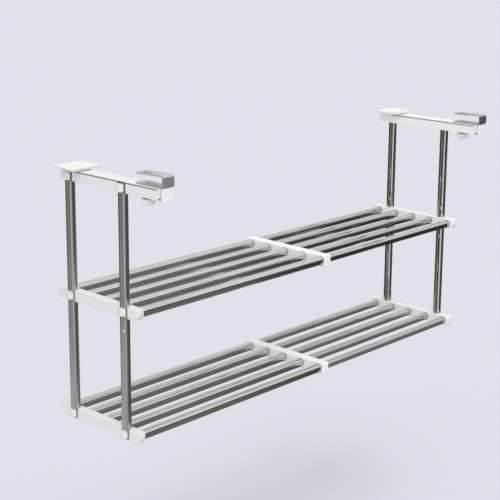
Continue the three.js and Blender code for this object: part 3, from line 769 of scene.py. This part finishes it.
strip_steel = {
    # Painted light: the left copy of the same strip steel is less metallic, so it takes more of the soft
    # light and comes out lighter than the right
    "left": satin_steel("satin_left_strip_steel", STRIP_GRAIN, (0.66, 0.66, 0.655, 1),
                        (0.54, 0.54, 0.535, 1), metallic=0.75),
    "right": satin_steel("satin_right_strip_steel", STRIP_GRAIN, (0.64, 0.64, 0.635, 1),
                         (0.50, 0.50, 0.495, 1), metallic=0.98),
}
screw_finish = satin_steel("zinc_plated_screw", SCREW_GRAIN, (0.55, 0.55, 0.53, 1),
                           (0.42, 0.42, 0.40, 1), metallic=1.0)
# Lit and shaded copies of one white plastic: the right-hand copy, on the right arm and plate, the caps, the
# connectors and the right rails, is painted lighter for the light on those faces
white = {
    "left": moulded_plastic("white_moulded_plastic", (0.84, 0.85, 0.83, 1),
                            (0.75, 0.765, 0.74, 1), rough=0.34, painted_shade_mask=arm_painted_shade),
    "right": moulded_plastic("white_plastic_painted_lighter", (0.92, 0.925, 0.91, 1),
                             (0.85, 0.86, 0.84, 1), rough=0.30, painted_shade_mask=arm_painted_shade),
}
# Painted shade: the left rails' copy of the same plastic is painted darker than the arm's
rail_white_painted_darker = moulded_plastic("white_plastic_painted_darker", (0.81, 0.825, 0.80, 1),
                             (0.72, 0.735, 0.71, 1), rough=0.34)
knob_white = moulded_plastic("white_knob_plastic", (0.86, 0.86, 0.85, 1),
                             (0.77, 0.77, 0.75, 1), rough=0.42, painted_shade_mask=knob_painted_shade)
cream = foam("cream_pad_foam", (0.885, 0.885, 0.835, 1), (0.80, 0.80, 0.75, 1))


# Putting the shelf together
bodies_of = {node: body for body, nodes in frame["record"]["behaviour"]["bodies"].items() for node in nodes}


def settle(piece, node, finish):
    """A finished piece goes to metres, gets its finish, and stands for its node on that node's body."""
    piece.scale = (MM, MM, MM)
    applied(piece)
    bpy.ops.object.mode_set(mode="EDIT")
    bpy.ops.mesh.select_all(action="SELECT")
    bpy.ops.mesh.quads_convert_to_tris(quad_method="BEAUTY", ngon_method="BEAUTY")
    done()
    bpy.ops.object.shade_smooth_by_angle(angle=math.radians(SMOOTH_ANGLE))
    modified(piece, "WEIGHTED_NORMAL", mode="FACE_AREA", weight=80, keep_sharp=True)
    piece.data.materials.clear()
    piece.data.materials.append(finish)
    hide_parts(node)
    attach(piece, bodies_of[node])


def stand(pattern, node, finish, place, turn=0):
    settle(copied(pattern, f"{node}_finished", turn, place), node, finish)


def both_sides(make, node, finish):
    left = make(f"left_{node}_finished")
    right = copied(left, f"right_{node}_finished", mirror=True)
    finishes = finish if isinstance(finish, dict) else {"left": finish, "right": finish}
    settle(left, f"left_{node}", finishes["left"])
    settle(right, f"right_{node}", finishes["right"])


plain_post = post("post_pattern")
for side, x, turn in (("left", POST_X, 0), ("right", -POST_X, 180)):
    for place, y in (("rear", POST_Y), ("front", -POST_Y)):
        stand(plain_post, f"{side}_{place}_post", post_steel[side], (x, y, 0), turn)
bpy.data.objects.remove(plain_post)

both_sides(arm, "arm", white)
both_sides(end_cap, "arm_end_cap", white["right"])
both_sides(rest_plate, "rest_plate", white)
both_sides(rest_pad, "rest_pad", cream)
both_sides(hook, "hook", strip_steel)
both_sides(clamp_knob, "clamp_knob", knob_white)
both_sides(clamp_screw, "clamp_screw", screw_finish)

patterns = {"outer": tube("outer_pattern", OUTER_R, OUTER_WALL, OUTER_X),
            "inner": tube("inner_pattern", INNER_R, INNER_WALL, INNER_X),
            "connector": connector("connector_pattern")}
for tier, z, pin_reach in (("lower", LOWER_Z, PIN_DEEP), ("upper", UPPER_Z, PIN_SHORT)):
    left, right = rail("left_pattern", OUTER_R, pin_reach), rail("right_pattern", INNER_R, pin_reach)
    stand(left, f"{tier}_left_rail", rail_white_painted_darker, (0, 0, z))
    stand(right, f"{tier}_right_rail", white["right"], (0, 0, z), turn=180)
    stand(patterns["connector"], f"{tier}_connector", white["right"], (0, 0, z))
    for kind in ("outer", "inner"):
        for i in range(TUBES):
            stand(patterns[kind], f"{tier}_{kind}_tube_{i + 1}", tube_steel[f"{tier} {kind}"],
                  (0, tube_row(i), z))
    for pattern in (left, right):
        bpy.data.objects.remove(pattern)
for pattern in patterns.values():
    bpy.data.objects.remove(pattern)


# The studio, whose brightness the steel mirrors: round about from +X at eye level, and up to the ceiling
WALLS = [(0.00, 0.05), (0.30, 0.06), (0.36, 0.08), (0.42, 0.25), (0.48, 0.25), (0.515, 0.04), (0.57, 0.04),
         (0.60, 0.15), (0.635, 0.90), (0.705, 0.90), (0.74, 0.20), (0.77, 0.06), (0.835, 0.03), (0.85, 0.22),
         (0.871, 0.22), (0.882, 0.04), (1.00, 0.05)]
CEILING = [(0.00, 0.12), (0.40, 0.12), (0.44, 0.50), (0.48, 1.15), (0.56, 1.15), (0.66, 1.00), (1.00, 0.95)]
GROUND_LEFT, GROUND_RIGHT = (0.21, 0.195, 0.175, 1), (0.045, 0.045, 0.04, 1)
REAR_WALL, TABLE = (0.72, 0.72, 0.74, 1), (0.95, 0.94, 0.92, 1)
FLOOR_Z, FLOOR_SIZE = -0.75, 120
LENS, SENSOR, SHIFT_Y = 91.56, 36.0, -0.08
CAMERA_AT, CAMERA_TURN = (-1.37954, -1.24535, 0.32355), (76.872, -0.392, -46.561)


def floor():
    let_go()
    bpy.ops.mesh.primitive_plane_add(size=FLOOR_SIZE, location=(0, 0, FLOOR_Z))
    plane = bpy.context.object
    plane.name = "studio_floor"
    made, sheet, shader = material("pale_floor", (0.80, 0.79, 0.83, 1))
    mottle = sheet.noise(0.8, detail=2.0)
    feed(sheet, shader, Base_Color=sheet.blend(mottle, (0.69, 0.68, 0.745, 1), (0.68, 0.67, 0.735, 1)))
    shader.inputs["Roughness"].default_value = 0.9
    plane.data.materials.append(made)
    plane.visible_glossy = False


def sun(name, towards, strength, softness):
    light = bpy.data.lights.new(name, "SUN")
    light.energy, light.angle = strength, math.radians(softness)
    holder = bpy.data.objects.new(name, light)
    bpy.context.scene.collection.objects.link(holder)
    holder.location = Vector(towards) * 3
    holder.rotation_euler = Vector(towards).to_track_quat("Z", "Y").to_euler()
    holder.visible_glossy = False


def surroundings():
    """The room: an even soft light on all, and for the steel to mirror, a bright ceiling over dark walls
    with bright strips, a ground that is darker to the right, and a bright table on the left."""
    world = bpy.data.worlds.new("studio_room")
    bpy.context.scene.world = world
    world.use_nodes = True
    world.node_tree.nodes.clear()
    sheet = Sheet(world.node_tree)
    x, y, z = sheet.apart(sheet.add("ShaderNodeTexCoord", out="Generated"))
    round_about = (y.math("ARCTAN2", x) / math.tau + 1).math("FRACT")
    # Towards +X the ceiling's bands come lower and the ground is darker
    to_right = x.between(0.67, 0.74)
    walls = sheet.add("ShaderNodeValToRGB", {"stops": [
        (at, (level, level * 0.985, level * 0.95, 1)) for at, level in WALLS]}, {"Fac": round_about})
    ceiling = sheet.add("ShaderNodeValToRGB", {"stops": [
        (at, (level, level, level * 1.01, 1)) for at, level in CEILING]}, {"Fac": z + to_right * 0.12})
    # Towards +Y an even rear wall stands under the ceiling
    rear = sheet.blend(z.between(0.5, 0.2), ceiling, REAR_WALL)
    ceiling = sheet.blend(y.between(0.05, 0.35), ceiling, rear)
    ground = sheet.blend(to_right, GROUND_LEFT, GROUND_RIGHT)
    below = sheet.blend(z.between(-0.30, -0.45), walls, ground)
    table = round_about.between(0.24, 0.28) * round_about.between(0.645, 0.60) * z.between(-0.35, -0.37)
    below = sheet.blend(table, below, TABLE)
    # The walls meet the ceiling's bands at eye level
    room = sheet.blend(z.between(-0.02, 0.02), below, ceiling)
    mirrored = sheet.add("ShaderNodeBackground", sockets={"Color": room, "Strength": 1.0})
    soft = sheet.add("ShaderNodeBackground", sockets={"Color": (0.98, 0.99, 1.0, 1), "Strength": 0.76})
    plain = sheet.add("ShaderNodeBackground", sockets={"Color": (0.74, 0.73, 0.78, 1), "Strength": 1.0})
    glossy = sheet.add("ShaderNodeLightPath", out="Is Glossy Ray")
    seen = sheet.add("ShaderNodeLightPath", out="Is Camera Ray")
    light = sheet.add("ShaderNodeMixShader", sockets={0: glossy, 1: soft, 2: mirrored})
    surface = sheet.add("ShaderNodeMixShader", sockets={0: seen, 1: light, 2: plain})
    sheet.add("ShaderNodeOutputWorld", sockets={"Surface": surface}, out=None)


def camera():
    made = bpy.data.cameras.new("photo_camera")
    made.lens, made.sensor_width, made.shift_y = LENS, SENSOR, SHIFT_Y
    made.clip_start, made.clip_end = 0.05, 200
    holder = bpy.data.objects.new("photo_camera", made)
    bpy.context.scene.collection.objects.link(holder)
    holder.location = CAMERA_AT
    holder.rotation_euler = [math.radians(degrees) for degrees in CAMERA_TURN]
    bpy.context.scene.camera = holder


floor()
surroundings()
sun("key_light", towards=(-0.25, -0.45, 0.86), strength=1.08, softness=25)
sun("side_light", towards=(-0.78, -0.25, 0.57), strength=0.36, softness=35)
camera()
bpy.context.scene.view_settings.view_transform = "Standard"
bpy.context.scene.view_settings.look = "None"
